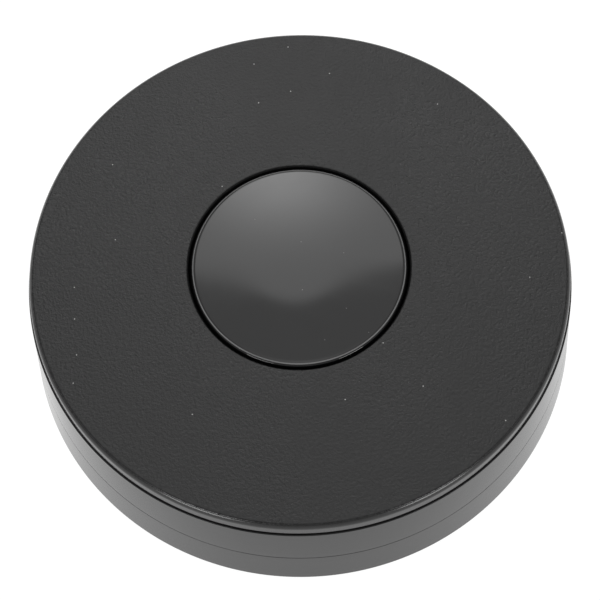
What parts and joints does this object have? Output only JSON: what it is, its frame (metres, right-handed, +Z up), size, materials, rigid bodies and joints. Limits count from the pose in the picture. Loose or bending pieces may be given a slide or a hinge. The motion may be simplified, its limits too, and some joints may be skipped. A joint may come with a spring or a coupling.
{
  "type": "magnetic stirrer",
  "caption": "Low round magnetic stirrer with a satin black cover, a gloss push button a hair proud of its centre, a motor-driven magnet bar inside and rubber feet.",
  "frame": {"origin": "on the surface it stands on, under the centre of the round body", "axes": "+Z up through the top cover, +Y towards the rear power inlet, +X to the right seen from the front"},
  "size_m": [0.12, 0.12, 0.0303],
  "materials": {
    "cover_plastic": "satin, fine texture",
    "wall_plastic": "satin, smooth",
    "button_gloss": "high gloss",
    "seal_rubber": "matt",
    "foot_rubber": "matt",
    "plate_metal": "satin",
    "plated_metal": "bright nickel",
    "steel": "satin",
    "dark_steel": "blackened",
    "brass": "turned",
    "copper_wire": "enamelled copper",
    "board_laminate": "green solder mask",
    "chip_resin": "matt resin",
    "switch_plastic": "satin",
    "connector_plastic": "natural white",
    "cable_plastic": "satin",
    "carrier_plastic": "glass-filled, matt"
  },
  "bodies": {
    "housing": {"top_cover": "cover_plastic", "top_seal": "seal_rubber", "body_ring": "wall_plastic", "base_shell": "wall_plastic", "rating_plate": "plate_metal", "control_board": "board_laminate", "power_inlet": "plated_metal", "driver_chip": "chip_resin", "control_chip": "chip_resin", "capacitor": "plate_metal", "motor_connector": "connector_plastic", "motor_cable": "cable_plastic", "motor_plate": "steel", "bearing_tube": "brass", "lower_bearing": "steel", "upper_bearing": "steel", "stator_core": "dark_steel", "foot_1": "foot_rubber", "case_screw_1": "dark_steel", "foot_2": "foot_rubber", "case_screw_2": "dark_steel", "foot_3": "foot_rubber", "case_screw_3": "dark_steel", "foot_4": "foot_rubber", "case_screw_4": "dark_steel", "button_spring_1": "steel", "switch_body_1": "switch_plastic", "board_screw_1": "steel", "motor_screw_1": "steel", "button_spring_2": "steel", "switch_body_2": "switch_plastic", "board_screw_2": "steel", "motor_screw_2": "steel", "button_spring_3": "steel", "switch_body_3": "switch_plastic", "board_screw_3": "steel", "motor_screw_3": "steel", "coil_1": "copper_wire", "coil_2": "copper_wire", "coil_3": "copper_wire", "coil_4": "copper_wire", "coil_5": "copper_wire", "coil_6": "copper_wire"},
    "rotor": {"rotor_can": "steel", "ring_magnet": "dark_steel", "motor_shaft": "steel", "yoke_strip": "steel", "magnet_carrier": "carrier_plastic", "stirring_magnet_1": "plated_metal", "stirring_magnet_2": "plated_metal"},
    "button": {"button_cap": "button_gloss"},
    "plunger_1": {"switch_plunger_1": "chip_resin"},
    "plunger_2": {"switch_plunger_2": "chip_resin"},
    "plunger_3": {"switch_plunger_3": "chip_resin"}
  },
  "joints": [
    {"name": "rotor_spin", "type": "hinge", "parent": "housing", "child": "rotor", "pos_m": [0, 0, 0.01], "axis": [0, 0, 1], "continuous": true},
    {"name": "button_press", "type": "slide", "parent": "housing", "child": "button", "axis": [0, 0, -1], "range_m": [0, 0.001], "stiffness_N_per_m": 1500, "springref_m": -0.0005, "deforming": ["button_spring_1", "button_spring_2", "button_spring_3"]},
    {"name": "plunger_1_press", "type": "slide", "parent": "housing", "child": "plunger_1", "axis": [0, 0, -1], "range_m": [0, 0.001]},
    {"name": "plunger_2_press", "type": "slide", "parent": "housing", "child": "plunger_2", "axis": [0, 0, -1], "range_m": [0, 0.001]},
    {"name": "plunger_3_press", "type": "slide", "parent": "housing", "child": "plunger_3", "axis": [0, 0, -1], "range_m": [0, 0.001]}
  ],
  "couplings": [
    {"joint": "plunger_1_press", "follows": "button_press", "ratio": 1},
    {"joint": "plunger_2_press", "follows": "button_press", "ratio": 1},
    {"joint": "plunger_3_press", "follows": "button_press", "ratio": 1}
  ]
}
